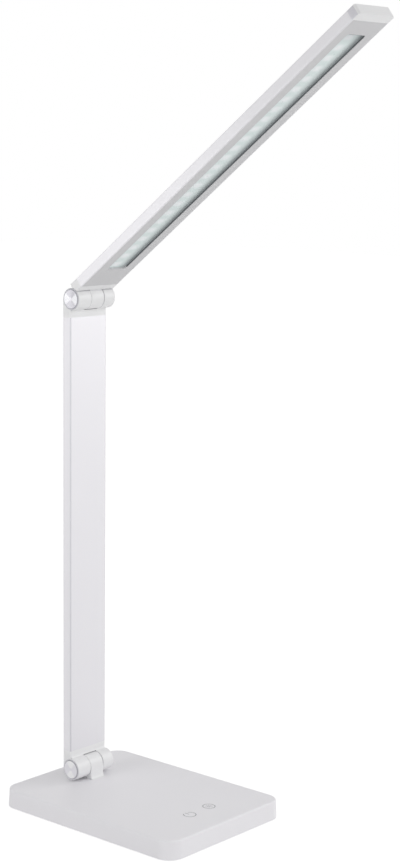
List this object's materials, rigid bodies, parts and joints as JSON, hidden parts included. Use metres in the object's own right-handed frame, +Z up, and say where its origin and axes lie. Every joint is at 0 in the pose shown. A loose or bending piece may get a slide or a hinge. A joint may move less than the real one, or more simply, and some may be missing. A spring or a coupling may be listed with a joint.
{
  "type": "folding led desk lamp",
  "caption": "Folding desk lamp with a weighted touch-control base, a flat upright arm and a flat head with a row of diodes, joined by friction hinges.",
  "frame": {"origin": "centre of the base pad's flat underside, on the table", "axes": "+Z up, -Y towards the user, +X to the user's right"},
  "size_m": [0.121, 0.2725, 0.5582],
  "materials": {
    "shell_plastic": "satin moulded plastic, light grey",
    "hinge_plastic": "satin moulded plastic, off-white",
    "bar_metal": "bead-blasted and anodised, silver white",
    "frame_plastic": "satin, light grey",
    "cap_chrome": "turned disc, bright",
    "steel": "zinc-plated",
    "weight_steel": "raw",
    "pad_rubber": "matt",
    "board_laminate": "solder mask",
    "foam": "open cell",
    "seal_rubber": "matt",
    "pad_silicone": "soft, matt",
    "black_plastic": "matt",
    "wire_sheath": "soft",
    "friction_fibre": "matt",
    "window_diffuser": "light-diffusing, smooth",
    "board_metal": "white solder mask",
    "led_package": "white with pale yellow filling"
  },
  "bodies": {
    "base": {"base_shell": "shell_plastic", "base_bottom_plate": "steel", "base_pad": "pad_rubber", "base_weight": "weight_steel", "base_screws": "steel", "hinge_bracket": "hinge_plastic", "bracket_screws": "steel", "control_board": "board_laminate", "touch_pads": "foam", "power_inlet": "black_plastic", "supply_wires": "wire_sheath", "base_harness": "wire_sheath", "lower_friction_discs": "friction_fibre"},
    "arm": {"lower_hinge_pin": "steel", "lower_spring_washers": "steel", "lower_hinge_nut": "steel", "lower_hinge_caps": "cap_chrome", "arm_lower_cap": "hinge_plastic", "arm_profile": "bar_metal", "arm_upper_cap": "hinge_plastic", "arm_screws": "steel", "arm_harness": "wire_sheath", "upper_hinge_pin": "steel", "upper_spring_washers": "steel", "upper_hinge_nut": "steel", "upper_hinge_caps": "cap_chrome"},
    "head": {"upper_friction_discs": "friction_fibre", "head_hinge_block": "hinge_plastic", "head_channel": "bar_metal", "head_underside": "frame_plastic", "head_tip_cap": "hinge_plastic", "window_seal": "seal_rubber", "window_cover": "window_diffuser", "led_board": "board_metal", "leds": "led_package", "heat_pad": "pad_silicone", "head_screws": "steel", "head_harness": "wire_sheath"}
  },
  "joints": [
    {"name": "arm_tilt", "type": "hinge", "parent": "base", "child": "arm", "pos_m": [0, 0.0535, 0.0229], "axis": [1, 0, 0], "range_deg": [-20, 90]},
    {"name": "head_tilt", "type": "hinge", "parent": "arm", "child": "head", "pos_m": [0, 0.0535, 0.3662], "axis": [1, 0, 0], "range_deg": [-52.9, 127.1]}
  ]
}
